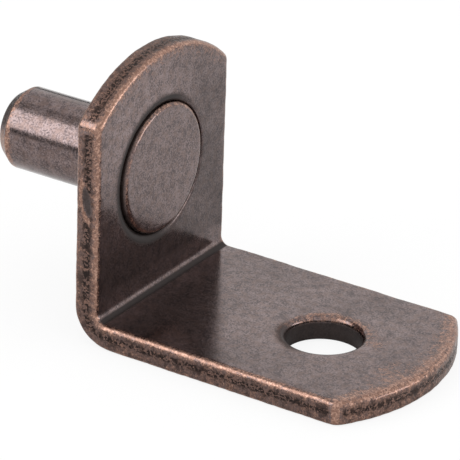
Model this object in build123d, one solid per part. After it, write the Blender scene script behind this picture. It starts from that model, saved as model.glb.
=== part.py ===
from build123d import *
import os

# Shelf support: a stamped and bent steel bracket with a headed pin pressed through its upright.
# Millimetres. The origin is on the pin's axis, in the plane of the bracket's back face.
# +X points from the back face along the foot, +Z is up, and the pin points along -X.

# The bracket's sheet and outline
plate_thickness = 1.5
plate_width = 13.5
upright_height = 16.4  # from under the foot to the top of the upright's crown
upright_crown = 2.7  # how far the round end rises above its two corners
foot_length = 20.0  # from the back face to the tip of the foot's crown
foot_crown = 2.25
inside_bend_radius = 0.5
outside_bend_radius = 2.4  # more than the inside radius plus the sheet, because a tight bend thins it
plan_corner_radius = 0.7  # where a crown meets a straight side
edge_roll = 0.35  # the punch rounds the inner side of every cut edge
burr_break = 0.2  # the outer side of the cut edges is only broken

# The screw hole in the foot
screw_hole_diameter = 4.5
screw_hole_from_back = 12.8
screw_hole_roll = 0.35
screw_hole_break = 0.1

# The pin
pin_diameter = 5.0
pin_reach = 8.8  # how far it stands out of the back face
pin_height = 8.9  # its axis above the underside of the foot
tip_taper_length = 0.7
tip_taper_depth = 0.5
tip_round = 0.12
land_step = 0.2  # the stretch of shank inside the plate is this much larger in radius, for a press fit

# The pin's head and its seat in the upright
head_diameter = 8.0
head_thickness = 0.8
head_proud = 0.05  # how far the head stands out of the upright's inner face
head_edge_round = 0.3
head_gap = 0.02  # radial gap between the head and its seat
seat_roll = 0.6  # the upright's face is drawn down round the pressed-in head

# Heights and places worked out from the sizes above
underside = -pin_height
foot_top = underside + plate_thickness
upright_top = underside + upright_height
head_front = plate_thickness + head_proud
head_seat = head_front - head_thickness
land_radius = pin_diameter / 2 + land_step
overrun = plate_thickness  # how far a cutting shape runs past the sheet


def nearest(shapes, point):
    """The edge, face or vertex that lies nearest to a point."""
    return shapes.sort_by_distance(point)[0]


def bent_profile():
    """The sheet seen from the side: one right-angle bend, a little thinner at its middle."""
    corner = (0, underside)
    inner_corner = (plate_thickness, foot_top)
    outline = Polyline(
        (0, upright_top),
        corner,
        (foot_length, underside),
        (foot_length, foot_top),
        inner_corner,
        (plate_thickness, upright_top),
        close=True,
    )
    profile = make_face(outline)
    profile = fillet(nearest(profile.vertices(), corner), outside_bend_radius)
    return fillet(nearest(profile.vertices(), inner_corner), inside_bend_radius)


def crowned_strip(start, tip, crown):
    """A straight-sided strip along Y that ends in a shallow arc with rounded corners."""
    half = plate_width / 2
    shoulder = tip - crown
    sides = Polyline((-half, shoulder), (-half, start), (half, start), (half, shoulder))
    end = ThreePointArc((half, shoulder), (0, tip), (-half, shoulder))
    strip = make_face(sides.edges() + end.edges())
    return fillet(strip.vertices().sort_by(Axis.Y)[-2:], plan_corner_radius)


def bent_blank():
    """The bent sheet with a crowned end on the upright and on the foot, edges still sharp."""
    sheet = extrude(Plane.XZ * bent_profile(), amount=plate_width / 2, both=True)
    from_behind = Plane.YZ.offset(-overrun)
    upright_strip = crowned_strip(underside - overrun, upright_top, upright_crown)
    upright_limit = extrude(from_behind * upright_strip, amount=foot_length + 2 * overrun)
    from_above = Plane(origin=(0, 0, upright_top + overrun), x_dir=(0, 1, 0), z_dir=(0, 0, -1))
    foot_strip = crowned_strip(-overrun, foot_length, foot_crown)
    foot_limit = extrude(from_above * foot_strip, amount=upright_height + 2 * overrun)
    return (sheet & upright_limit & foot_limit).solid()


def side_faces(blank, offset, bend_radius):
    """The upright, bend and foot faces on one side of the sheet, offset from its outer side."""
    bend_centre = offset + bend_radius
    reach = bend_radius * 0.5**0.5
    on_upright = (offset, 0, 0)
    on_bend = (bend_centre - reach, 0, underside + bend_centre - reach)
    on_foot = (screw_hole_from_back, 0, underside + offset)
    return ShapeList(nearest(blank.faces(), point) for point in (on_upright, on_bend, on_foot))


def rim_edges(faces):
    """The edges that go round a group of faces: those that belong to one of them only."""
    edges = [edge for face in faces for edge in face.edges()]
    return ShapeList(edge for edge in edges if sum(edge.is_same(other) for other in edges) == 1)


def round_rims(blank):
    """The punch's roll on the inner side, and the broken burr on the outer side."""
    inner_rim = rim_edges(side_faces(blank, plate_thickness, inside_bend_radius))
    rolled = fillet(inner_rim, edge_roll).solid()
    outer_rim = rim_edges(side_faces(rolled, 0, outside_bend_radius))
    return chamfer(outer_rim, burr_break).solid()


def rim_at(plate, point):
    """The circular edge that passes through a point on the rim of a hole."""
    return nearest(plate.edges().filter_by(GeomType.CIRCLE), point)


def pierce_foot(plate):
    """The screw hole, rolled at the top where the punch went in and broken underneath."""
    hole_radius = screw_hole_diameter / 2
    centre = (screw_hole_from_back, 0, underside - overrun)
    drill = extrude(Plane(centre) * Circle(hole_radius), amount=plate_thickness + 2 * overrun)
    plate = (plate - drill).solid()
    rim_x = screw_hole_from_back + hole_radius
    plate = plate.fillet(screw_hole_roll, [rim_at(plate, (rim_x, 0, foot_top))]).solid()
    lower_rim = rim_at(plate, (rim_x, 0, underside))
    return plate.chamfer(screw_hole_break, None, [lower_rim]).solid()


def seat_pin(plate):
    """The stepped hole for the pin, with the face drawn down round the head."""
    behind = Plane.YZ.offset(-overrun)
    land_hole = extrude(behind * Circle(land_radius), amount=plate_thickness + 2 * overrun)
    seat_radius = head_diameter / 2 + head_gap
    seat = extrude(Plane.YZ.offset(head_seat) * Circle(seat_radius), amount=head_thickness + overrun)
    plate = (plate - land_hole - seat).solid()
    return plate.fillet(seat_roll, [rim_at(plate, (plate_thickness, seat_radius, 0))]).solid()


def make_bracket():
    """The finished plate, in the order it is made: blanked, bent, rolled, pierced and seated."""
    return seat_pin(pierce_foot(round_rims(bent_blank())))


def make_pin():
    """A turned pin: flat head, pressed land, plain shank and a tapered tip with softened edges."""
    head_radius = head_diameter / 2
    shank_radius = pin_diameter / 2
    tip_radius = shank_radius - tip_taper_depth
    head_rim = (head_front, head_radius)
    taper_start = (tip_taper_length - pin_reach, shank_radius)
    tip_rim = (-pin_reach, tip_radius)
    outline = Polyline(
        (head_front, 0),
        head_rim,
        (head_seat, head_radius),
        (head_seat, land_radius),
        (0, land_radius),
        (0, shank_radius),
        taper_start,
        tip_rim,
        (-pin_reach, 0),
        close=True,
    )
    profile = make_face(outline)
    profile = fillet(nearest(profile.vertices(), head_rim), head_edge_round)
    for corner in (taper_start, tip_rim):
        profile = fillet(nearest(profile.vertices(), corner), tip_round)
    return revolve(Plane.XZ * profile, axis=Axis.X).solid()


os.makedirs("parts", exist_ok=True)
export_step(make_bracket(), "parts/bracket.step")
export_step(make_pin(), "parts/pin.step")
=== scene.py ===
# %% [markdown]
# A shelf support is a small strip of steel bent to a right angle, with a headed pin pressed
# through its upright leg. The pin goes into a hole in a cabinet side, and the shelf lies on the
# foot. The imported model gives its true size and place. It could be shown as it is, but its edges
# are kept plain to save facets, and the real part's worn edges are what the eye goes to first.
# So the model is loaded as a fixed frame, and two finer pieces are made inside it.

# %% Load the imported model
import math

import bmesh
import bpy
import numpy as np
from mathutils import Matrix, Vector, kdtree, noise
from mathutils.geometry import delaunay_2d_cdt


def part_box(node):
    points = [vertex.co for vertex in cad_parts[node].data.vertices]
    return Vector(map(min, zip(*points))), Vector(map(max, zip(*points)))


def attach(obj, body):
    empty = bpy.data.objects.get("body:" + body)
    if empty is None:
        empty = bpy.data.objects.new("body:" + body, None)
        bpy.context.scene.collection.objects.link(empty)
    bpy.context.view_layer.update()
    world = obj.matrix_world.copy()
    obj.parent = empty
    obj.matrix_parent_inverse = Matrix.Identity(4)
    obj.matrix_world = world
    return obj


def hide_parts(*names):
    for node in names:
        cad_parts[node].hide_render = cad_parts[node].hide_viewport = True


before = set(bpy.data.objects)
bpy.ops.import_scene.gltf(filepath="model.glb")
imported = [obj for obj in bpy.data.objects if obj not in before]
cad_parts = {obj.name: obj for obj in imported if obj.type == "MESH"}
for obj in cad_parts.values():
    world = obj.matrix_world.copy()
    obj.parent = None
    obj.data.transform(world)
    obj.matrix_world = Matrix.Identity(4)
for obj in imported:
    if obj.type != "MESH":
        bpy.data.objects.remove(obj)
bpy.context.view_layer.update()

MM = 0.001  # one millimetre in Blender's metres
print("solids in the frame:", sorted(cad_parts))

# %% [markdown]
# A size that the frame can give is read from it, so the dressed part follows the model.
# The others, such as the sheet's thickness and its bends, are written once in millimetres.
# The mesh work is done in millimetres too, because small round numbers are easier to read,
# and it is turned into Blender's metres only when a mesh is made.

# %% Sizes in millimetres
bracket_low, bracket_high = (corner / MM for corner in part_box("bracket"))
pin_low, pin_high = (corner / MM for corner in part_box("pin"))

sheet = 1.5
half_width = (bracket_high.y - bracket_low.y) / 2
upright_crown, foot_crown = 2.7, 2.25
plan_corner = 0.7
inside_bend, outside_bend = 0.5, 2.4
edge_roll, burr_round = 0.35, 0.2

underside, upright_top, foot_tip = bracket_low.z, bracket_high.z, bracket_high.x
bend_start_z = underside + outside_bend

screw_hole_radius, screw_hole_x = 2.25, 12.8
screw_hole_roll, screw_hole_break = 0.35, 0.1

head_radius = pin_high.y
head_front, pin_end = pin_high.x, pin_low.x
head_thickness, head_edge_round = 0.8, 0.30
head_seat = head_front - head_thickness
land_radius, shank_radius = 2.7, 2.5
taper_length, taper_depth, tip_round = 0.7, 0.5, 0.12

head_gap = 0.02
seat_radius = head_radius + head_gap
seat_roll, lip_width = 0.6, 0.52
print("sheet", sheet, "mm, head", round(2 * head_radius, 2), "mm across")
print("the pin stands", round(-pin_end, 2), "mm out of the back")

# %% [markdown]
# The plate began as a flat strip that was blanked, pierced and then bent. Modelling it in that
# order is easier than shaping the bent form: on the flat strip each edge is one closed line, and
# its rounding is one profile swept round it. A place on the strip has three numbers: how far
# along it lies (from the start of the bend, minus towards the top), how far across, and how
# deep in the sheet it is, from the outer side to the inner one. The bend is tight, so the metal
# stretches outside and crowds inside: each depth has an arc and a path length of its own.

# %% The flat strip
mid_radius = (inside_bend + outside_bend) / 2
mid_centre = sheet / 2 + mid_radius
bend_length = mid_radius * math.pi / 2 + 2 * (outside_bend - mid_centre)
run_in = 0.8  # the straight stretch on each side of the bend that shares in the stretching
strip_top = bend_start_z - upright_top
strip_tip = bend_length + foot_tip - outside_bend
pin_along = bend_start_z
screw_along = bend_length + screw_hole_x - outside_bend
print("the flat strip is", round(strip_tip - strip_top, 2), "mm long")


def bend(flat):
    """Takes points of the flat strip to their place on the bent plate."""
    along, across, depth = flat.T
    radius = outside_bend + (inside_bend - outside_bend) * depth / sheet
    centre = depth + radius
    lead = run_in + outside_bend - centre
    arc = radius * math.pi / 2
    zone = bend_length + 2 * run_in
    through = np.clip(along + run_in, 0, zone) / zone * (2 * lead + arc)
    turn = np.clip((through - lead) / radius, 0, math.pi / 2)
    before = np.maximum(lead - through, 0) + np.maximum(-run_in - along, 0)
    after = np.maximum(through - lead - arc, 0) + np.maximum(along - bend_length - run_in, 0)
    x = centre - radius * np.cos(turn) + after
    z = underside + centre - radius * np.sin(turn) + before
    return np.column_stack([x, across, z])


# %% [markdown]
# Each end of the strip is a shallow arc, the crown, that meets the straight sides in small round
# corners. Hand-placed points would give flat spots in the reflections. A circle gives both the
# points and their outward directions exactly. Four such quarters and two sides are the outline.

# %% Outline of the strip
step = 0.1  # the gap between the points of a loop
corner_points = 15


def quarter_end(tip, crown):
    """Points and outward directions from the tip of a crowned end round to its straight side."""
    crown_radius = (half_width**2 + crown**2) / (2 * crown)
    inner_radius = crown_radius - plan_corner
    meet = math.asin((half_width - plan_corner) / inner_radius)
    crown_turns = np.arange(0, meet, step / crown_radius)
    corner_turns = np.linspace(meet, math.pi / 2, corner_points)
    turns = np.concatenate([crown_turns, corner_turns])
    outward = np.column_stack([np.cos(turns), np.sin(turns)])
    centre_u = np.where(turns < meet, 0, inner_radius * math.cos(meet)) + tip - crown_radius
    centre_y = np.where(turns < meet, 0, half_width - plan_corner)
    radii = np.where(turns < meet, crown_radius, plan_corner)[:, None]
    return np.column_stack([centre_u, centre_y]) + radii * outward, outward


def half_outline():
    """The side of the strip where across is positive, from the foot's tip to the upright's."""
    foot_points, foot_outward = quarter_end(strip_tip, foot_crown)
    top_points, top_outward = quarter_end(-strip_top, upright_crown)
    flip = np.array([-1, 1])
    top_points, top_outward = (top_points * flip)[::-1], (top_outward * flip)[::-1]
    side = np.arange(foot_points[-1, 0] - step, top_points[0, 0] + step / 2, -step)
    side_points = np.column_stack([side, np.full(len(side), half_width)])
    side_outward = np.tile([0.0, 1.0], (len(side), 1))
    points = np.vstack([foot_points, side_points, top_points])
    return points, np.vstack([foot_outward, side_outward, top_outward])


def whole_outline():
    """Both sides joined to one closed loop."""
    points, outward = half_outline()
    mirror = np.array([1, -1])
    other_points, other_outward = points[-2:0:-1] * mirror, outward[-2:0:-1] * mirror
    return np.vstack([points, other_points]), np.vstack([outward, other_outward])


outline = whole_outline()
print("outline:", len(outline[0]), "points")

# %% [markdown]
# The screw hole and the pin's seat were pierced in the strip too. Each could be cut with a
# Boolean, but that leaves ragged triangles just where the rim shines. As a loop of its own, a
# hole can take the same kind of edge as the outline: outward is always away from the metal,
# which in a hole is towards its middle.

# %% Loops of the two holes
def hole_outline(along, radius):
    """A round hole's points and outward directions."""
    count = 4 * round(radius * math.pi / 2 / step)
    turns = np.arange(count) / count * 2 * math.pi
    ring = np.column_stack([np.cos(turns), np.sin(turns)])
    return ring * radius + [along, 0], -ring


screw_hole = hole_outline(screw_along, screw_hole_radius)
seat = hole_outline(pin_along, seat_radius)
print("screw hole:", len(screw_hole[0]), "points, seat:", len(seat[0]), "points")

# %% [markdown]
# The punch draws the sheet down before it cuts, so the inner side of every edge is rolled over,
# and the other side keeps a slight burr that tumbling breaks off. Blender's Bevel could round
# the edges, but it slips at the plan corners and can't give two different sides. A profile is a
# list of steps from the inner face over the roll, down the cut and round to the outer face:
# how far in from the outline each step lies, and how deep in the sheet.

# %% Profile of a cut edge
round_steps = 8  # steps in each rounding of a profile


def edge_profile(roll, lower_round, wall_end, spread=1.0):
    """Steps over a rolled edge, down its wall and round its lower side."""
    turns = np.linspace(0, math.pi / 2, round_steps + 1)
    inset = spread * roll * (1 - np.sin(turns))
    over = np.column_stack([inset, sheet - roll * (1 - np.cos(turns))])
    wall_top = sheet - roll
    wall_steps = max(2, round((wall_top - wall_end - lower_round) / step))
    wall = np.linspace(wall_top, wall_end + lower_round, wall_steps + 1)[1:-1]
    down = np.column_stack([np.zeros(len(wall)), wall])
    inset, drop = lower_round * (1 - np.cos(turns)), lower_round * (1 - np.sin(turns))
    under = np.column_stack([inset, wall_end + drop])
    return np.vstack([over, down, under])


outline_profile = edge_profile(edge_roll, burr_round, 0)
screw_profile = edge_profile(screw_hole_roll, screw_hole_break, 0)
print("steps over an edge:", len(outline_profile), "outline,", len(screw_profile), "screw hole")

# %% [markdown]
# The pin sits in a stepped hole: a rolled rim, a short wall, a ledge for the head, and a narrow
# hole for the shank's land. Most of it is hidden, but its rim is the dark groove round the head,
# so the whole hole is modelled in one profile, and the groove gets a true depth.

# %% Profile of the seat
ledge_steps, land_steps = 12, 7
land_break = 0.05  # how far the narrow hole's rim is broken at the back


def seat_profile():
    """Steps over the drawn rim, down to the ledge, along it and through to the back."""
    rim = edge_profile(seat_roll, 0.0, head_seat, spread=lip_width / seat_roll)[:-round_steps]
    ledge = seat_radius - land_radius
    across = np.linspace(0, -ledge, ledge_steps)[1:]
    down = np.linspace(head_seat, 0.8 * land_break, land_steps)[1:]
    ledge_rows = np.column_stack([across, np.full(len(across), head_seat)])
    land_rows = np.column_stack([np.full(len(down), -ledge), down])
    broken = [[0.3 * land_break - ledge, 0.2 * land_break], [land_break - ledge, 0.0]]
    return np.vstack([rim, ledge_rows, land_rows, broken])


print("steps down the seat:", len(seat_profile()))

# %% [markdown]
# Each profile is now set at every point of its loop. The head was pressed in a little off
# centre, so the lip round it is wide and deep at the left and nearly gone at the right. The
# seat could have a different profile at each point. It is simpler to sweep one profile, lean
# its rows to the wide side, and then make them shallower on the other.

# %% Sweep the profiles
lip_lean = (-0.11, -0.625)  # how far the lip leans along and across, for each millimetre of width
least_drop = 0.12  # the share of the lip's depth that is left on its shallow side


def sweep(loop, profile, lean=(0, 0)):
    """Sets the profile at every point of a loop: one row of flat-strip points for each step."""
    points, outward = loop
    rows = []
    for inset, depth in profile:
        flat_row = points - inset * outward + max(inset, 0) * np.array(lean)
        rows.append(np.column_stack([flat_row, np.full(len(points), depth)]))
    return np.array(rows)


def facing(turn, middle):
    """1 where a turn round a middle faces a direction in degrees, down to 0 opposite it."""
    return 0.5 + 0.5 * np.cos(turn - math.radians(middle))


outline_rows = sweep(outline, outline_profile)
screw_rows = sweep(screw_hole, screw_profile)
seat_rows = sweep(seat, seat_profile(), lip_lean)

lean_angle = -math.degrees(math.atan2(-lip_lean[1], -lip_lean[0]))
seat_turn = np.arctan2(seat[0][:, 1], pin_along - seat[0][:, 0])
lip_drop = np.maximum(facing(seat_turn, lean_angle), least_drop)
seat_depth = seat_rows[:, :, 2]
drawn_depth = sheet - (sheet - seat_depth) * lip_drop
seat_rows[:, :, 2] = np.where(seat_depth > head_seat + 0.01, drawn_depth, seat_depth)
print("the lip is deepest at", round(lean_angle), "degrees from the top")

# %% [markdown]
# Between those rows lie the two broad faces. One large polygon would shade badly and could not
# bend, so each face is filled with a fine grid of points and triangulated between its loops.
# Blender's constrained Delaunay call does that, and the triangles inside a hole are dropped.
# The grid is finer through the bend, where the sheet has to turn smoothly.

# %% Fill the broad faces
grid_gap, bend_gaps, gaps_across = 0.22, 63, 62
clear_of_loops = 0.11  # grid points nearer than this to a loop would make slivers


def grid_points():
    """A grid over the strip, closer along the bend."""
    upright = np.arange(strip_top, -run_in - 0.1, grid_gap)
    through_bend = np.linspace(-run_in, bend_length + run_in, bend_gaps + 1)
    foot = np.arange(bend_length + run_in + 0.2, strip_tip, grid_gap)
    along = np.concatenate([upright, through_bend, foot])
    across = np.linspace(-half_width, half_width, gaps_across + 1)
    return np.array(np.meshgrid(along, across)).reshape(2, -1).T


def distance_to(marks, points):
    """Distance over the strip from each point to the nearest of some marks."""
    tree = kdtree.KDTree(len(marks))
    for index, mark in enumerate(marks):
        tree.insert((*mark, 0), index)
    tree.balance()
    return np.array([tree.find((u, y, 0))[2] for u, y in points])


def fill_face(loops, depth):
    """Triangles between the outline and the holes at one depth of the sheet."""
    grid = grid_points()
    grid = grid[distance_to(np.vstack(loops), grid) >= clear_of_loops]
    points = [Vector(point) for point in np.vstack([*loops, grid])]
    edges, start = [], 0
    for loop in loops:
        edges += [(start + i, start + (i + 1) % len(loop)) for i in range(len(loop))]
        start += len(loop)
    inside_only, tolerance = 1, 1e-6
    made, _, triangles, *_ = delaunay_2d_cdt(points, edges, [], inside_only, tolerance)
    face_points = np.array(made)
    middles = face_points[np.array(triangles)].mean(axis=1)
    in_metal = np.ones(len(middles), bool)
    for hole in loops[1:]:
        centre = hole.mean(axis=0)
        in_metal &= np.hypot(*(middles - centre).T) > np.hypot(*(hole[0] - centre))
    triangles = [triangle for triangle, kept in zip(triangles, in_metal) if kept]
    return np.column_stack([face_points, np.full(len(face_points), depth)]), triangles


swept_edges = (outline_rows, screw_rows, seat_rows)
inner_face = fill_face([rows[0, :, :2] for rows in swept_edges], sheet)
outer_face = fill_face([rows[-1, :, :2] for rows in swept_edges], 0.0)
print("inner face", len(inner_face[1]), "triangles, outer face", len(outer_face[1]))

# %% [markdown]
# The faces and the swept edges are now put in one mesh and welded where their points meet, which
# closes it. It stays flat for the moment, because distances to an edge are simple on the strip.

# %% One closed flat mesh
weld_reach = 0.002


def add_rows(mesh, rows):
    """Adds rows of points as quads that run round a loop, and returns the rows' vertices."""
    rings = [[mesh.verts.new(point) for point in row] for row in rows]
    for ring, after in zip(rings, rings[1:]):
        for i in range(len(ring)):
            j = (i + 1) % len(ring)
            mesh.faces.new((ring[i], ring[j], after[j], after[i]))
    return rings


def add_triangles(mesh, points, triangles):
    """Adds a filled face."""
    made = [mesh.verts.new(point) for point in points]
    for triangle in triangles:
        mesh.faces.new([made[i] for i in triangle])


def points_and_normals(mesh):
    """Turns all faces outwards, and reads the place and the normal of each point."""
    bmesh.ops.recalc_face_normals(mesh, faces=mesh.faces)
    mesh.normal_update()
    return np.array([v.co for v in mesh.verts]), np.array([v.normal for v in mesh.verts])


flat = bmesh.new()
for rows in swept_edges:
    add_rows(flat, rows)
for face in (inner_face, outer_face):
    add_triangles(flat, *face)
bmesh.ops.remove_doubles(flat, verts=flat.verts, dist=weld_reach)
flat_points, flat_normals = points_and_normals(flat)
open_edges = sum(1 for edge in flat.edges if not edge.is_manifold)
print("flat plate:", len(flat.verts), "points,", open_edges, "open edges")

# %% [markdown]
# After plating, the parts are tumbled in a drum. They rub each other on rims and corners, where
# the dark finish wears through to copper. How worn a place is depends on its distance from a
# rim. Hand paint can't be repeated, and a shader doesn't know where the rims are, so the wear is
# worked out once for each point and kept on the mesh as an attribute that the material reads. The
# same attribute carries two painted highlights: on the crest of the upright's crown, and on the
# head's rim at the upper right.
# All the masks are made of three shapes: a smooth step, a smooth hump and a smooth patch.

# %% Distances and shapes for the masks
along, across, depth = flat_points.T
edge_distance = distance_to(outline[0], flat_points[:, :2])
hole_distance = np.hypot(along - screw_along, across) - screw_hole_radius
seat_distance = np.hypot(along - pin_along, across) - seat_radius
on_foot = along > 0


def ease(value, low, high):
    """A smooth step from 0 at low to 1 at high."""
    share = np.clip((value - low) / (high - low), 0, 1)
    return share * share * (3 - 2 * share)


def band(value, middle, half):
    """A smooth hump of height 1 round a middle."""
    return np.exp(-(((value - middle) / half) ** 2))


def spot(along_at, across_at, reach_along, reach_across):
    """A smooth patch on the strip."""
    return band(along, along_at, reach_along) * band(across, across_at, reach_across)


print("farthest point from the outline:", round(edge_distance.max(), 2), "mm")

# %% [markdown]
# The roll round the inner side is rubbed most, in a bright line along its crest. On the upright's
# crown the crest is brighter still, which is a painted highlight on top of the wear. Below the
# roll the bare cut keeps only flecks of copper, with a few more on the crowned ends, and the broken
# outer rim has a thin worn line of its own. The strongest of these counts at each point.

# %% Wear and a painted highlight along the rims
crest_turn, crest_spread = math.radians(43), math.radians(28)
foot_crest, side_crest, top_crest, top_reach = 0.60, 0.66, 0.80, 4.0
roll_wear, outer_wear, cut_wear, more_on_crowns = 0.46, 0.58, 0.33, 0.08
roll_foot = sheet - edge_roll

on_edge = ease(edge_distance, 1.25 * edge_roll, 0.7 * edge_roll)
roll_turn = np.arctan2(edge_roll - edge_distance, edge_roll - (sheet - depth))
on_crest = band(roll_turn, crest_turn, crest_spread)
on_crest = on_crest * ease(depth, roll_foot - 0.05, roll_foot + 0.05)
# Painted highlight: the crest on the upright's crown is made brighter than its wear alone.
upright_crest = np.where(along < strip_top + top_reach, top_crest, side_crest)
crest_wear = on_crest * np.where(on_foot, foot_crest, upright_crest)

on_roll = ease(depth, roll_foot - 0.22, roll_foot + 0.10)
on_outer_rim = ease(edge_distance, 0.3, 0.05) * band(depth, 0.08, 0.14)
foot_crown_cut = ease(along, strip_tip - 2.4, strip_tip - 1.6)
top_crown_cut = ease(along, strip_top + 3.4, strip_top + 2.6)
cut_flecks = cut_wear + more_on_crowns * np.maximum(foot_crown_cut, top_crown_cut)
rims = [roll_wear * on_roll, crest_wear, outer_wear * on_outer_rim, cut_flecks]
rim_wear = on_edge * np.maximum.reduce(rims)
print("mean wear of the rims", round(float(rim_wear.mean()), 3))

# %% [markdown]
# Near the two crowned ends the wear doesn't stop at the roll: it is smeared inwards over the
# broad face and fades within a millimetre or so. The foot, which sticks out furthest, has more
# of it, and two soft spots besides. One formula for the whole rim would look printed, so the
# ends and the spots have a place and a strength of their own.

# %% Wear smeared over the broad face
smear_fade, foot_smear, top_smear = 1.2, 0.56, 0.35
spot_wear = 0.40

on_inner_side = ease(depth, sheet - 0.04, sheet)
near_rim = np.exp(-np.maximum(edge_distance - edge_roll, 0) / smear_fade)
foot_end = ease(along, strip_tip - 4.4, strip_tip - 2.0)
top_end = ease(along, strip_top + 6.0, strip_top + 1.5)
smear = on_inner_side * near_rim * (foot_smear * foot_end + top_smear * top_end)

near_tip = spot(strip_tip - 1.7, -2.0, 1.2, 2.4)
beyond_hole = spot(screw_along + 2.9, 0.7, 0.9, 1.2)
foot_spots = spot_wear * on_inner_side * np.minimum(near_tip + beyond_hole, 1)
print("points with a smear:", int((smear > 0.1).sum()))

# %% [markdown]
# The screw hole is rubbed on one side only, the far one, where its roll shows a copper line and
# a faint halo lies round it. The wear is turned round the hole with a cosine, which has no seam.

# %% Wear round the screw hole
rubbed_side = 105  # degrees round the hole, from the foot's tip towards the far side
wide_side, wide_spread = 0.4, 0.7  # where the halo is widest, in radians
halo_reach, halo_more = 0.40, 0.55
halo_wear, halo_wear_more = 0.17, 0.30
roll_rub, roll_rub_more = 0.12, 0.28

hole_turn = np.arctan2(across, along - screw_along)
hole_side = facing(hole_turn, rubbed_side)
hole_reach = halo_reach + halo_more * band(hole_turn, wide_side, wide_spread)
hole_smear = np.exp(-np.maximum(hole_distance - screw_hole_roll, 0) / hole_reach)
hole_smear = hole_smear * (halo_wear + halo_wear_more * hole_side) * on_inner_side

on_hole_roll = ease(hole_distance, 1.3 * screw_hole_roll, 0.7 * screw_hole_roll)
hole_rim = (roll_rub + roll_rub_more * hole_side) * on_hole_roll * ease(depth, 1.05, 1.2)
print("most wear at the screw hole", round(float(np.maximum(hole_smear, hole_rim).max()), 2))

# %% [markdown]
# The four plan corners catch every neighbour in the drum, so the cut there is worn bright from
# top to bottom. After that the wear of the bracket is complete: the strongest of all its parts.

# %% Wear of the corners
foot_corner_wear, top_corner_wear = 0.62, 0.40
foot_corner_reach, top_corner_reach, corner_core = 0.40, 0.55, 0.20

corner_along = np.where(on_foot, strip_tip - foot_crown, strip_top + upright_crown)
at_corner = np.hypot(along - corner_along, np.abs(across) - half_width)
corner_reach = np.where(on_foot, foot_corner_reach, top_corner_reach)
corner_wear = np.where(on_foot, foot_corner_wear, top_corner_wear)
corner_wear = corner_wear * ease(at_corner, corner_reach, corner_core) * ease(edge_distance, 0.3, 0.1)
wear = np.maximum.reduce([rim_wear, smear, hole_smear, hole_rim, foot_spots, corner_wear])
print("mean wear", round(float(wear.mean()), 3))

# %% [markdown]
# A punched edge is smooth near the punch and torn below it. The torn band is rougher and browner
# than the plated faces, so a second attribute says where the bare cut is. The corners are worn
# smooth and are left out of it.

# %% Bare sheared edge
torn_depth, torn_half, torn_on_foot = 0.80, 0.28, 0.8

cut_side = ease(edge_distance, 0.22, 0.04) * ease(depth, sheet - 0.10, sheet - 0.36)
cut_side = cut_side * ease(depth, 0.05, 0.2)
torn = band(depth, torn_depth, torn_half) * np.where(along < 0, 1.0, torn_on_foot)
sheared = cut_side * (0.5 + 0.5 * torn) * ease(at_corner, 0.3, 0.5)
print("mean share of sheared edge", round(float(sheared.mean()), 3))

# %% [markdown]
# The black salt stays where the drum can't reach: inside the screw hole. The same attribute holds
# painted shade: in the lip round the head, down the seat, in a band across the inner corner of the
# bend that stands for a dark reflection, and in a dark halo at the near end of the screw hole,
# whose brown edge goes into the cut attribute. The cut on top of the upright's crown is darkened a
# little too. A shader could darken every hollow alike with ambient occlusion, but on the real part
# each hollow is dark in its own measure. This is the third attribute, hollow.

# %% Salt in the hollows, and painted shade
hole_salt, seat_salt, crown_salt, bend_salt = 0.86, 0.50, 0.34, 0.95
halo_salt, halo_brown, halo_angle = 0.80, 0.75, -135

in_screw_hole = ease(hole_distance, 0.12, 0.02)
in_screw_hole = in_screw_hole * ease(sheet - screw_hole_roll - depth, -0.1, 0.1)
# Painted shade: a dark halo at the near end of the screw hole, with a brown edge put into the cut
# attribute.
near_end = ease(np.cos(hole_turn - math.radians(halo_angle)), 0.55, 0.95)
hole_halo = near_end * ease(hole_distance, 0.64, 0.26) * ease(depth, 0.9, 1.2)
brown_edge = near_end * ease(hole_distance, 0.85, 0.45) * on_inner_side
sheared = np.maximum(sheared, halo_brown * brown_edge)

# Painted shade down the seat's wall, below the lip.
in_seat = ease(seat_distance, 0.05, 0.0) * ease(depth, sheet - 0.35, sheet - 0.6)
in_seat = in_seat * ease(depth, 0.0, 0.2)
top_of_crown = cut_side * ease(along, strip_top + 2.2, strip_top + 0.6)
# Painted dark reflection: a band across the inner corner of the bend, on the foot's side of its
# highlight.
bend_share = along / bend_length
in_bend = on_inner_side * ease(bend_share, 0.44, 0.50) * ease(bend_share, 0.70, 0.66)
print("points inside the screw hole:", int((in_screw_hole > 0.5).sum()))

# %% [markdown]
# The lip's dark crescent is painted shade. It follows the lip's lean: it is as wide as the lip at
# each turn, nearly black at the wide left side and faint at the right, where the lip is shallow.

# %% Painted shade in the lip
faint_salt, crescent_salt, wider = 0.15, 0.81, 0.635

lip_turn = np.arctan2(across, pin_along - along)
towards_lean = np.cos(lip_turn - math.radians(lean_angle))
lip_edge = lip_width * (1 + wider * towards_lean)
in_lip = ease(seat_distance, lip_edge + 0.05, lip_edge - 0.06) * ease(depth, 0.2, 0.5)
in_lip = in_lip * (faint_salt + crescent_salt * ease(towards_lean, -0.75, 0.0))
in_lip = in_lip * (1 - 0.25 * ease(depth, sheet - 0.25, sheet - 0.5))

salt = np.maximum.reduce(
    [
        hole_salt * in_screw_hole,
        halo_salt * hole_halo,
        in_lip,
        seat_salt * in_seat,
        crown_salt * top_of_crown,
        bend_salt * in_bend,
    ]
)
print("mean share of salt", round(float(salt.mean()), 3))

# %% [markdown]
# No tumbled edge is perfectly even. The crest of the roll wanders a little, the cut has small
# pits, and the broad faces are very slightly wavy, which is what makes a reflection look like
# real sheet. A texture can only fake this in the shading, so the points themselves are moved.

# %% Tumbling marks
face_wave, crest_wander, cut_pit = 0.004, 0.022, 0.016


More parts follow.
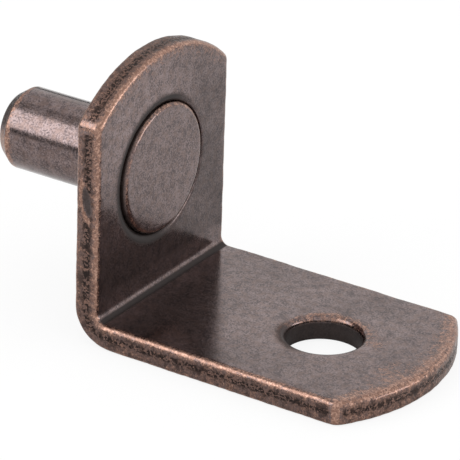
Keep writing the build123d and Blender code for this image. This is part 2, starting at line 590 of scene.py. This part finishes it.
def lumps(points, size, seed):
    """Soft noise for each point, about -1 to 1, with features of a size in millimetres."""
    shift = Vector((seed * 7.1, seed * 3.3, seed * 5.7))
    return np.array([noise.noise(Vector(point) / size + shift) for point in points])


near_edge = ease(edge_distance, 0.6, 0.1)
waves = face_wave * lumps(flat_points, 4.0, 1)
wander = crest_wander * near_edge * lumps(flat_points, 1.3, 2)
pits = cut_pit * near_edge * lumps(flat_points, 0.42, 3)
print("the rims wander by up to", round(float(np.abs(wander + pits).max()), 3), "mm")

# %% [markdown]
# Near the middle of the upright's near edge, the shear left a small fold shaped like a lens: a
# shallow dark pocket with a raised bright lip on one side. It is too deep for a bump map to look
# right against the light, so it is pressed into the points too, as an oval in the plane of the cut.

# %% Shear fold
fold_along, fold_depth, fold_slant = pin_along - 0.12, 0.74, 0.17
fold_half_length, fold_half_width = 0.95, 0.29
pocket_depth, lip_height = 0.05, 0.045
lip_shine, pocket_dulling, pocket_salt = 0.55, 0.6, 0.8

fold_reach = (along - fold_along) / fold_half_length
fold_side = (depth - fold_depth - fold_slant * fold_reach) / fold_half_width
fold_round = np.sqrt(fold_reach**2 + fold_side**2)
on_near_cut = ease(across, -half_width + 0.05, -half_width + 0.01)
in_pocket = on_near_cut * ease(fold_round, 1.10, 0.75)
on_fold_lip = on_near_cut * band(fold_round, 1.20, 0.26) * ease(fold_side, 0.25, -0.35)
fold = lip_height * on_fold_lip - pocket_depth * in_pocket

wear = np.clip(wear + lip_shine * on_fold_lip - pocket_dulling * in_pocket, 0, 1)
sheared = sheared * (1 - on_fold_lip) * (1 - in_pocket)
salt = np.maximum(salt, pocket_salt * in_pocket)
print("the fold is", round(2 * fold_half_length, 2), "mm long")

# %% [markdown]
# The upright is made paler at its upper left, which is painted light, and darker low down at the
# right and just below the head, which is painted shade. The foot has two paler clouds. These broad
# changes are the fourth attribute, tone, with soft noise over them as a random tone, so
# that the edges of the clouds don't show.

# %% Tone of the finish, with painted light and shade
upright_level, upper_left_more, dark_less = 0.42, 0.46, 0.70
foot_level, cloud_more, tone_noise = 0.38, 0.28, 0.34

# Painted light at the upper left of the upright; painted shade low at the right and below the head.
upper_left = ease(-along, 2.0, 9.0) * ease(-across, -4.0, 3.0)
lower_right = ease(along, -13.0, -6.0) * ease(-along, 0.5, 2.5) * ease(across, 1.0, 4.5)
below_head = ease(along, -4.2, -2.0) * ease(-along, 0.0, 0.8)
clouds = spot(screw_along - 3.4, -1.0, 3.5, 4.0) + spot(strip_tip - 3.6, 1.5, 2.6, 4.0)
upright_tone = upright_level + upper_left_more * upper_left
upright_tone = upright_tone - dark_less * np.maximum(lower_right, below_head)
foot_tone = foot_level + cloud_more * np.minimum(clouds, 1)
tone = np.where(along < 0, upright_tone, foot_tone) + tone_noise * lumps(flat_points, 2.2, 8)
print("tone from", round(float(tone.min()), 2), "to", round(float(tone.max()), 2))

# %% [markdown]
# The marked strip is bent last. Only its points move, so each one keeps the wear, cut, salt, tone,
# painted highlight and painted shade that it was given on the flat strip.

# %% Make the bracket
def new_object(name, data):
    """Puts a new object with this data in the scene."""
    made = bpy.data.objects.new(name, data)
    bpy.context.scene.collection.objects.link(made)
    return made


def smooth_mesh(name, mesh, places):
    """Writes a bmesh with new places, in millimetres, to a smooth-shaded Blender object."""
    data = bpy.data.meshes.new(name)
    mesh.to_mesh(data)
    mesh.free()
    data.vertices.foreach_set("co", (places * MM).astype(np.float32).ravel())
    data.polygons.foreach_set("use_smooth", [True] * len(data.polygons))
    data.update()
    return new_object(name, data)


def keep(piece, **marks):
    """Stores one number for each point and mark, for the material to read."""
    for name, values in marks.items():
        layer = piece.data.attributes.new(name, "FLOAT", "POINT")
        layer.data.foreach_set("value", values.astype(np.float32))


marked_points = flat_points + flat_normals * (waves + wander + pits + fold)[:, None]
bracket = smooth_mesh("bracket_dressed", flat, bend(marked_points))
keep(bracket, wear=wear, sheared=sheared, hollow=salt, tone=tone)
print("bracket:", len(bracket.data.polygons), "faces")

# %% [markdown]
# The pin was turned on a lathe: a flat head, a shank and a tapered tip. A cylinder with bevels
# would do from far off, but here the head's rim and the tip carry the bright worn rings, so they
# need their own steps. The profile is drawn as corners with a radius, rounded by a formula, and
# spun round the pin's axis.

# %% Profile of the pin
profile_gap = 0.13  # the longest step along the profile
head_back_round, land_round = 0.05, 0.03
pin_corners = [
    # place along the axis, radius, rounding
    (head_front, head_radius, head_edge_round),
    (head_seat, head_radius, head_back_round),
    (head_seat, land_radius, 0.0),
    (0.0, land_radius, land_round),
    (0.0, shank_radius, 0.0),
    (pin_end + taper_length, shank_radius, tip_round),
    (pin_end, shank_radius - taper_depth, tip_round),
]


def rounded(before, corner, after, radius):
    """Points of the arc that rounds one corner of a profile."""
    back, ahead = (before - corner).normalized(), (after - corner).normalized()
    half = back.angle(ahead) / 2
    if radius == 0:
        return [corner]
    reach = radius / math.tan(half)
    centre = corner + (back + ahead).normalized() * radius / math.sin(half)
    start, end = corner + back * reach - centre, corner + ahead * reach - centre
    sweep_angle = start.angle_signed(end)
    turns = [sweep_angle * i / round_steps for i in range(round_steps + 1)]
    return [centre + Matrix.Rotation(-turn, 2) @ start for turn in turns]


def pin_profile():
    """All steps of the profile, from the middle of the head to the middle of the tip."""
    ends = [Vector((head_front, 0.0)), Vector((pin_end, 0.0))]
    corners = [Vector(corner[:2]) for corner in pin_corners]
    around = [ends[0], *corners, ends[1]]
    points = [ends[0]]
    for i, (*_, radius) in enumerate(pin_corners):
        points += rounded(around[i], around[i + 1], around[i + 2], radius)
    return points + [ends[1]]


def closer(points, gap):
    """Adds points on the long runs, so that no step is longer than a gap."""
    made = [points[0]]
    for before, after in zip(points, points[1:]):
        pieces = max(1, math.ceil((after - before).length / gap))
        made += [before.lerp(after, k / pieces) for k in range(1, pieces + 1)]
    return made


profile = closer(pin_profile(), profile_gap)
print("pin profile:", len(profile), "steps")

# %% [markdown]
# Blender's Screw or Spin tool could turn the profile. Written out, the rings are as simple, and
# the two ends close in a fan round one middle point, so the mesh is closed with nothing to weld.

# %% Spin the profile
spin_count = 224


def spin(profile):
    """Spins (along, radius) steps round the X axis into a closed mesh."""
    mesh = bmesh.new()
    turns = [2 * math.pi * i / spin_count for i in range(spin_count)]
    rows = []
    for place, radius in profile[1:-1]:
        rows.append([(place, radius * math.sin(t), radius * math.cos(t)) for t in turns])
    rings = add_rows(mesh, rows)
    for ring, (place, _) in ((rings[0], profile[0]), (rings[-1], profile[-1])):
        middle = mesh.verts.new((place, 0, 0))
        for i in range(spin_count):
            mesh.faces.new((ring[i], ring[(i + 1) % spin_count], middle))
    return mesh


turned = spin(profile)
pin_points, pin_normals = points_and_normals(turned)
print("turned pin:", len(pin_points), "points")

# %% [markdown]
# The head's rim is worn all round, more at the bottom, and at the upper right it has a painted
# highlight on top of the wear. Its side wall stands in the groove, where painted shade keeps it
# dark. The wall shows most at the left, so the painted shade there starts higher. The same shapes
# as on the bracket do for the pin, with a turn round its axis.

# %% Wear, painted highlight and painted shade of the head
even_wear, low_wear, upper_right_wear = 0.29, 0.24, 0.22
left_angle = -100  # degrees from the top towards the far side
wall_drop, wall_rise = 0.30, 0.26

place, radial = pin_points[:, 0], np.hypot(pin_points[:, 1], pin_points[:, 2])
round_turn = np.arctan2(pin_points[:, 1], pin_points[:, 2])
on_head = ease(place, head_seat + 0.1, head_front - 0.3)
rim_flat = ease(radial, head_radius - 0.34, head_radius - 0.16)
rim_ring = np.exp(-np.abs(radial - head_radius + 0.1) / 0.16)
rim_share = even_wear + low_wear * facing(round_turn, 180)
# Painted highlight: more copper on the rim at the upper right.
rim_share = rim_share + upper_right_wear * band(round_turn, 0.8, 1.1)
wall_start = head_front - wall_drop + wall_rise * facing(round_turn, left_angle)
# Painted shade: the head's wall is darkened where it stands in the groove.
in_groove = ease(place, wall_start, wall_start - 0.12) * ease(place, 0.0, 0.1)
head_wear = on_head * np.maximum(rim_flat, rim_ring) * rim_share * (1 - in_groove)
print("mean wear of the head", round(float(head_wear[on_head > 0.5].mean()), 3))

# %% [markdown]
# A ring of copper runs where the shank meets its taper. The taper itself is dark on its upper
# side and rubbed brown below, and the rim of the flat end is worn a little. One even ring would
# look painted, so it is wider and stronger below.

# %% Wear of the tip
ring_height, ring_half, end_wear, taper_wear = 0.50, 0.26, 0.30, 0.60
higher_below, shifted_below, wider_below = 0.06, 0.06, 0.10
ring_place = pin_end + taper_length + 0.06

upper_side = ease(np.cos(round_turn), 0.10, 0.46)
lower_side = 1 - upper_side
ring_middle = ring_place + shifted_below * lower_side
ring_wear = band(place, ring_middle, ring_half + wider_below * lower_side)
ring_wear = (ring_height + higher_below * lower_side) * ring_wear
tip_wear = end_wear * ease(place, pin_end + 0.2, pin_end) * ease(radial, 1.2, 2.0)
behind_ring = ease(place, ring_place - 0.08, ring_place - 0.24)
on_taper = behind_ring * ease(radial, shank_radius - 0.64, shank_radius - 0.54)
rubbed_taper = taper_wear * on_taper * lower_side
pin_wear = np.maximum.reduce([head_wear, ring_wear, tip_wear, rubbed_taper])
print("mean wear of the pin", round(float(pin_wear.mean()), 3))

# %% [markdown]
# Turned metal is truer than sheared metal, so the pin gets only faint waves, and lumps on the
# worn rings alone. Its cut attribute marks the head's rim and the top of the taper, which are
# brown. Its salt lies on the taper, and painted shade darkens the head's wall in the groove.

# %% Make the pin
long_wave, short_wave, ring_lump = 0.004, 0.0016, 0.010
rim_cut, taper_cut = 0.5, 0.8
groove_salt, taper_salt, taper_salt_above = 0.66, 0.14, 0.38
pin_level, head_paler, pin_tone_noise = 0.5, 0.14, 0.2

pin_waves = long_wave * lumps(pin_points, 3.0, 5) + short_wave * lumps(pin_points, 0.8, 7)
pin_lumps = ring_lump * np.clip(head_wear + ring_wear, 0, 1) * lumps(pin_points, 0.5, 6)
pin_places = pin_points + pin_normals * (pin_waves + pin_lumps)[:, None]
pin = smooth_mesh("pin_dressed", turned, pin_places)

on_head_rim = on_head * ease(radial, head_radius - 0.2, head_radius - 0.05)
pin_cut = np.maximum(rim_cut * on_head_rim, taper_cut * on_taper * upper_side)
pin_salt = on_taper * (taper_salt + taper_salt_above * upper_side)
# The groove's painted shade joins the taper's salt.
pin_salt = np.maximum(groove_salt * in_groove, pin_salt)
pin_tone = pin_level + head_paler * on_head + pin_tone_noise * lumps(pin_points, 2.6, 9)
keep(pin, wear=pin_wear, sheared=pin_cut, hollow=pin_salt, tone=pin_tone)
print("pin:", len(pin.data.polygons), "faces")

# %% [markdown]
# Now the finish. Antique copper is a thin copper plating on steel, blackened with a salt bath and
# tumbled. It is metal nearly all over, so there is one metallic shader, and the masks change its
# colour, its gloss, its relief and, in the hollows and under the painted shade, how metallic it is.
# Small helpers keep the node code short: one adds a node and fills its sockets, and the others name
# what a node does.

# %% Node helpers
def new_material(name):
    """A material with its node tree and its shader."""
    material = bpy.data.materials.new(name)
    material.use_nodes = True
    return material, material.node_tree, material.node_tree.nodes["Principled BSDF"]


def add(tree, kind, inputs, **options):
    """Adds a node, sets its options, and fills or links its sockets by name or number."""
    made = tree.nodes.new(kind)
    for name, value in options.items():
        setattr(made, name, value)
    for name, value in inputs.items():
        if isinstance(value, bpy.types.NodeSocket):
            tree.links.new(value, made.inputs[name])
        else:
            made.inputs[name].default_value = value
    return made


def sums(tree, operation, first, second):
    """One Math node's result."""
    return add(tree, "ShaderNodeMath", {0: first, 1: second}, operation=operation).outputs[0]


def plus(tree, first, second):
    """The sum of two numbers."""
    return sums(tree, "ADD", first, second)


def times(tree, first, second):
    """The product of two numbers."""
    return sums(tree, "MULTIPLY", first, second)


def scaled(tree, vector, factor):
    """A colour or a place, times one number."""
    inputs = {0: vector, "Scale": factor}
    return add(tree, "ShaderNodeVectorMath", inputs, operation="SCALE").outputs[0]


def between(tree, value, low, high, start=0.0, end=1.0):
    """Takes low to high smoothly to start to end, and holds the ends."""
    inputs = {"Value": value, "From Min": low, "From Max": high, "To Min": start, "To Max": end}
    made = add(tree, "ShaderNodeMapRange", inputs, interpolation_type="SMOOTHSTEP")
    return made.outputs["Result"]


def stored(tree, name):
    """A number that the mesh keeps for each point."""
    return add(tree, "ShaderNodeAttribute", {}, attribute_name=name).outputs["Fac"]


print("node helpers ready")

# %% [markdown]
# The salt bath leaves a fine speckle at several sizes, which is what noise textures give. Two
# more helpers are enough: noise with its features counted in a millimetre, and a mix of colours.

# %% Noise and colour helpers
def grain(tree, place, per_mm, detail=2.0, roughness=0.5, distortion=0.0):
    """Noise with so many features in a millimetre."""
    inputs = {"Vector": place, "Scale": per_mm, "Detail": detail}
    inputs.update({"Roughness": roughness, "Distortion": distortion})
    return add(tree, "ShaderNodeTexNoise", inputs).outputs["Fac"]


def blend_colours(tree, share, first, second):
    """Mixes two colours by a share from 0 to 1."""
    made = add(tree, "ShaderNodeMix", {0: share, 6: first, 7: second}, data_type="RGBA")
    return made.outputs[2]


print("noise and colour helpers ready")

# %% [markdown]
# Fine scratches are noise pulled out to long threads: the place is turned and then squeezed in
# one direction, and only the noise's highest ridges are kept. Two directions are enough.

# %% Scratches
thread_per_mm = 0.35  # features along a scratch in each millimetre
ridge_width = 0.05


def scratches(tree, place, angle, per_mm, keep_above):
    """Thin straight marks in one direction over the surface."""
    mapped = add(tree, "ShaderNodeMapping", {"Vector": place, "Rotation": angle}).outputs[0]
    inputs = {0: mapped, 1: (thread_per_mm, per_mm, per_mm)}
    pulled = add(tree, "ShaderNodeVectorMath", inputs, operation="MULTIPLY").outputs[0]
    ridges = grain(tree, pulled, 1.0, detail=1.0)
    return between(tree, ridges, keep_above, keep_above + ridge_width)


def crossed_scratches(tree, place):
    """Scratches in the two directions together."""
    one_way = scratches(tree, place, (0.3, 0.2, 0.5), 9.0, 0.70)
    other_way = scratches(tree, place, (1.1, 0.7, 1.9), 8.0, 0.72)
    return sums(tree, "MAXIMUM", one_way, other_way)


print("scratches run in two directions")

# %% [markdown]
# The patina is a dark grey with a fine speckle and a brown cast here and there. The mesh's
# tone makes it broadly paler or darker: a random tone, and on the upright painted light
# and shade. The colours are those of the metal itself: the soft boxes make it look lighter where
# they are reflected.

# %% Patina
PATINA_DARK = (0.078, 0.061, 0.061, 1)
PATINA_LIGHT = (0.218, 0.168, 0.165, 1)
PATINA_BROWN = (0.172, 0.120, 0.106, 1)
CUT_BROWN = (0.140, 0.088, 0.074, 1)
most_brown = 0.6
speck_share, coarse_share = 0.75, 0.25
base_level, tone_swing = 0.75, 0.5


def patina_colour(tree, place, speck, tone_here):
    """Dark blackened finish: speckle, a brown cast here and there, broad areas partly painted light and
    shade.
    """
    coarse = grain(tree, place, 1.8, detail=2)
    mixed = plus(tree, times(tree, speck, speck_share), times(tree, coarse, coarse_share))
    grey = blend_colours(tree, between(tree, mixed, 0.41, 0.59), PATINA_DARK, PATINA_LIGHT)
    cloud = grain(tree, place, 2.6, detail=5, roughness=0.7)
    brown = between(tree, cloud, 0.44, 0.62, 0.0, most_brown)
    cast = blend_colours(tree, brown, grey, PATINA_BROWN)
    level = plus(tree, times(tree, tone_here, tone_swing), base_level)
    return scaled(tree, cast, level)


print("patina from", PATINA_DARK[:3], "to", PATINA_LIGHT[:3])

# %% [markdown]
# Where the finish is rubbed away, the copper under it shows: deep and brown where it is hardly
# worn, bright on the crests, and flecked with what is left of the dark. Wear alone would end in
# a smooth gradient, so noise is added to it and a threshold breaks it into grains.

# %% Copper and its wear
COPPER_DEEP = (0.220, 0.126, 0.096, 1)
COPPER_BRIGHT = (0.46, 0.285, 0.220, 1)
rub_share = 0.85
bare_from, bare_to = 1.10, 1.42


def worn_share(tree, wear_here, patch, speck):
    """How far the patina is rubbed off or painted bright, broken into grains by two sizes of noise."""
    rub = plus(tree, times(tree, patch, rub_share), times(tree, speck, rub_share))
    return between(tree, plus(tree, wear_here, rub), bare_from, bare_to)


def copper_colour(tree, place, worn):
    """Bare copper, deep where it is hardly worn and bright on the crests, with darker flecks."""
    fleck = grain(tree, place, 7.0, detail=3, roughness=0.7)
    clean = between(tree, fleck, 0.44, 0.64, 0.05, 1.0)
    brightness = times(tree, between(tree, worn, 0.25, 1.0), clean)
    return blend_colours(tree, brightness, COPPER_DEEP, COPPER_BRIGHT)


print("copper from", COPPER_DEEP[:3], "to", COPPER_BRIGHT[:3])

# %% [markdown]
# The torn cut holds black oxide in blotches and in finer dots, apart from where it is worn
# bright. The same mask serves three times: it darkens the colour, dulls the gloss and sinks the
# relief, so that a dark place is a pit as well.

# %% Oxide in the pits
# This black is that of the pits and the salt, and it is also the colour of the painted shade.
OXIDE = (0.020, 0.015, 0.014, 1)
pit_oxide = 0.95


def pitted_share(tree, place, sheared_here, wear_here):
    """Blotches and dots of black pits on the bare cut, apart from where it is worn."""
    clouds = grain(tree, place, 2.4, detail=4, roughness=0.65, distortion=0.4)
    blotches = times(tree, between(tree, clouds, 0.49, 0.60), sheared_here)
    dots = between(tree, grain(tree, place, 7.0, detail=2), 0.47, 0.54)
    dots = times(tree, dots, between(tree, sheared_here, 0.55, 0.85))
    pitted = sums(tree, "MAXIMUM", blotches, dots)
    return times(tree, pitted, between(tree, wear_here, 0.9, 0.5))


print("oxide", OXIDE[:3])

# %% [markdown]
# The relief is a hundredth or two of a millimetre deep at most, and its grains are finer than
# the mesh, so it is bump: the speckle, a finer grain, the scratches, and on the cut a rough break
# and the pits.

# %% Relief
bump_distance = 0.0026 * MM
cut_roughness, pit_relief, scratch_relief = 9.0, 4.0, 0.5
speck_relief, fine_relief = 0.8, 0.3


def relief_normal(tree, place, speck, patch, sheared_here, pitted):
    """The surface's fine relief as a normal."""
    fine = grain(tree, place, 15.0, detail=1)
    relief = plus(tree, times(tree, speck, speck_relief), times(tree, fine, fine_relief))
    marks = times(tree, crossed_scratches(tree, place), scratch_relief)
    relief = sums(tree, "SUBTRACT", relief, marks)
    rough_cut = times(tree, times(tree, patch, sheared_here), cut_roughness)
    relief = plus(tree, relief, rough_cut)
    relief = sums(tree, "SUBTRACT", relief, times(tree, pitted, pit_relief))
    inputs = {"Height": relief, "Strength": 1.0, "Distance": bump_distance}
    return add(tree, "ShaderNodeBump", inputs).outputs[0]


print("bump distance", round(1000 * bump_distance / MM, 1), "thousandths of a millimetre")

# %% [markdown]
# All of it meets in one material. The salt in the hollows is matt and only partly a metal, so the
# shader is less metallic there and its edge tint is dull, and the painted shade is treated the same
# way. Both then stay an even dark grey where a pure metal would turn black.

# %% Antique copper
gloss_low, gloss_high, worn_matt, oxide_matt = 0.13, 0.20, 0.16, 0.25
salt_edge, salt_metal = 0.45, 0.5


def antique_copper(name):
    """Dark patina, copper where worn or painted bright, dark in the cut's pits, hollows and painted
    shade.
    """
    material, tree, shader = new_material(name)
    place = scaled(tree, add(tree, "ShaderNodeTexCoord", {}).outputs["Object"], 1 / MM)
    kinds = ("wear", "sheared", "hollow", "tone")
    wear_here, sheared_here, hollow_here, tone_here = (stored(tree, kind) for kind in kinds)
    speck = grain(tree, place, 9.5, detail=3, roughness=0.7)
    patch = grain(tree, place, 3.2, detail=4, roughness=0.6)

    patina = patina_colour(tree, place, speck, tone_here)
    under = blend_colours(tree, sheared_here, patina, CUT_BROWN)
    worn = worn_share(tree, wear_here, patch, speck)
    surface = blend_colours(tree, worn, under, copper_colour(tree, place, worn))
    pitted = pitted_share(tree, place, sheared_here, wear_here)
    # This mask is the pits' oxide, the salt and the painted shade together.
    oxide = sums(tree, "MAXIMUM", times(tree, pitted, pit_oxide), hollow_here)
    surface = blend_colours(tree, oxide, surface, OXIDE)
    tree.links.new(surface, shader.inputs["Base Color"])

    gloss = between(tree, speck, 0.3, 0.7, gloss_low, gloss_high)
    gloss = plus(tree, gloss, times(tree, worn, worn_matt))
    gloss = plus(tree, gloss, times(tree, oxide, oxide_matt))
    tree.links.new(gloss, shader.inputs["Roughness"])
    normal = relief_normal(tree, place, speck, patch, sheared_here, pitted)
    tree.links.new(normal, shader.inputs["Normal"])

    edge_tint = between(tree, hollow_here, 0.0, 0.9, 1.0, salt_edge)
    tree.links.new(edge_tint, shader.inputs["Specular Tint"])
    metal = between(tree, hollow_here, 0.2, 1.0, 1.0, salt_metal)
    tree.links.new(metal, shader.inputs["Metallic"])
    return material


for piece, node, slot in ((bracket, "bracket", "bracket_copper"), (pin, "pin", "pin_copper")):
    piece.data.materials.append(antique_copper(slot))
    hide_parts(node)
    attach(piece, "root")
print("pieces dressed:", [piece.name for piece in (bracket, pin)])

# %% [markdown]
# The camera looks from the right and above, as the photograph does, through a very long lens, so
# the edges stay nearly parallel. Its place is given by two angles round the part, a slight roll,
# a distance and the point that it looks at.

# %% Camera
azimuth, elevation, roll = math.radians(32.062), math.radians(25.765), math.radians(1.971)
aim = Vector((6.452, -0.432, -2.395)) * MM
camera_distance = 221.8 * MM
lens, sensor_width = 301.18, 36.0
nearest_seen, farthest_seen = 0.01, 10.0

level_x, level_y = math.sin(azimuth) * math.cos(elevation), -math.cos(azimuth) * math.cos(elevation)
towards_camera = Vector((level_x, level_y, math.sin(elevation)))
camera_data = bpy.data.cameras.new("camera")
camera_data.lens, camera_data.sensor_width = lens, sensor_width
camera_data.clip_start, camera_data.clip_end = nearest_seen, farthest_seen
camera = new_object("camera", camera_data)
bpy.context.scene.camera = camera
camera.location = aim + towards_camera * camera_distance
upright_view = towards_camera.to_track_quat("Z", "Y").to_matrix()
camera.rotation_euler = (upright_view @ Matrix.Rotation(roll, 3, "Z")).to_euler()
print("camera at", [round(c / MM, 1) for c in camera.location], "mm")

# %% [markdown]
# A polished part shows its surroundings more than its own colour, so the light is planned as
# what it should see: a pale room all round, one large soft box at the left and front that draws
# the bright band on the pin, and one at the right for the rims. The boxes are area lamps that
# the camera doesn't see.

# %% Soft boxes
box_distance = 0.9


def look_at(thing, place, target):
    """Puts a thing at a place with its -Z axis towards a target."""
    thing.location = place
    thing.rotation_euler = (Vector(target) - Vector(place)).to_track_quat("-Z", "Y").to_euler()


def soft_box(name, direction, size, brightness):
    """An area lamp whose face has a given brightness, seen in reflections and not by the camera."""
    data = bpy.data.lights.new(name, "AREA")
    data.shape, (data.size, data.size_y) = "RECTANGLE", size
    data.energy = brightness * math.pi * size[0] * size[1]
    lamp = new_object(name, data)
    look_at(lamp, Vector(direction).normalized() * box_distance, (0, 0, 0))
    lamp.visible_camera = False
    return lamp


left_box = soft_box("soft_box_left", (-0.50, -0.655, 0.53), size=(0.60, 0.63), brightness=2.5)
right_box = soft_box("soft_box_right", (0.91, 0.38, 0.10), size=(0.5, 0.34), brightness=3.3)
for lamp in (left_box, right_box):
    print(lamp.name, round(lamp.data.energy, 2), "W")

# %% [markdown]
# The floor is plain white paper. Seen by the camera it glows a little towards pure white, so it
# meets the background without a line, and the rest of its light is real, which keeps the part's
# soft shadow. More light on the set would whiten the floor too, and bleach the part with it.

# %% Floor
FLOOR_WHITE = (0.82, 0.82, 0.82, 1)
glow_share = 0.85
floor_size = 3.0
floor_drop = 0.03  # the tumbled rim reaches a little below the model's underside


def plain_plane(name, width, height, material):
    """A flat oblong that belongs to the studio."""
    mesh = bmesh.new()
    bmesh.ops.create_grid(mesh, x_segments=1, y_segments=1, size=0.5)
    bmesh.ops.scale(mesh, vec=(width, height, 1), verts=mesh.verts)
    data = bpy.data.meshes.new(name)
    mesh.to_mesh(data)
    mesh.free()
    made = new_object(name, data)
    data.materials.append(material)
    return made


def floor_paint():
    """White, lifted towards pure white for the camera only, so that a soft shadow stays."""
    material, tree, shader = new_material("floor_paint")
    matt = add(tree, "ShaderNodeBsdfDiffuse", {"Color": FLOOR_WHITE}).outputs[0]
    white = add(tree, "ShaderNodeEmission", {"Strength": 1.0}).outputs[0]
    seen = add(tree, "ShaderNodeLightPath", {}).outputs["Is Camera Ray"]
    share = times(tree, seen, glow_share)
    mixed = add(tree, "ShaderNodeMixShader", {0: share, 1: matt, 2: white}).outputs[0]
    tree.links.new(mixed, tree.nodes["Material Output"].inputs["Surface"])
    tree.nodes.remove(shader)
    return material


floor = plain_plane("floor", floor_size, floor_size, floor_paint())
floor.location = (0, 0, (underside - floor_drop) * MM)
print("floor at", round(floor.location.z / MM, 2), "mm")

# %% [markdown]
# The pin's bright band is framed by two dark lines. On a real set a long grey card, held low at
# the left, draws the lower one along anything round. It is out of the camera's sight.

# %% Grey card
FELT_GREY = (0.16, 0.16, 0.16, 1)
felt_roughness = 0.9
card_length, card_height = 2.4, 0.22
card_place, card_faces = (-0.62, 0.10, 0.10), (0, 0.10, 0.10)


def grey_felt():
    """The card's covering."""
    material, _, shader = new_material("grey_felt")
    shader.inputs["Base Color"].default_value = FELT_GREY
    shader.inputs["Roughness"].default_value = felt_roughness
    return material


card = plain_plane("grey_card", card_length, card_height, grey_felt())
look_at(card, card_place, card_faces)
card.visible_camera = False
print("card at", [round(c, 2) for c in card.location], "m")

# %% [markdown]
# The room is a world of one pale level with one darker gap high at the left, like the opening
# between two ceiling panels, which draws the upper dark line. The camera sees plain white in its
# place. A picture of a real studio could light the part as well, but a formula needs no image.

# %% Room
room_level, gap_level = 1.15, 0.68
gap_towards = Vector((-0.478, -0.056, 0.876)).normalized()
gap_from, gap_to = 0.980, 0.997


def room_light():
    """White for the camera. For reflections, a pale room with a darker gap high at the left."""
    world = bpy.data.worlds.new("room")
    bpy.context.scene.world = world
    world.use_nodes = True
    tree = world.node_tree
    direction = add(tree, "ShaderNodeTexCoord", {}).outputs["Generated"]
    aligned = add(tree, "ShaderNodeVectorMath", {0: direction, 1: gap_towards}, operation="DOT_PRODUCT")
    level = between(tree, aligned.outputs["Value"], gap_from, gap_to, room_level, gap_level)
    camera_sees = add(tree, "ShaderNodeLightPath", {}).outputs["Is Camera Ray"]
    shown = add(tree, "ShaderNodeMix", {0: camera_sees, 2: level, 3: 1.0}, data_type="FLOAT")
    background = tree.nodes["Background"]
    background.inputs["Color"].default_value = (1, 1, 1, 1)
    tree.links.new(shown.outputs[0], background.inputs["Strength"])


room_light()
bpy.context.scene.view_settings.view_transform = "Standard"
print("room at", room_level, "with a gap at", gap_level)
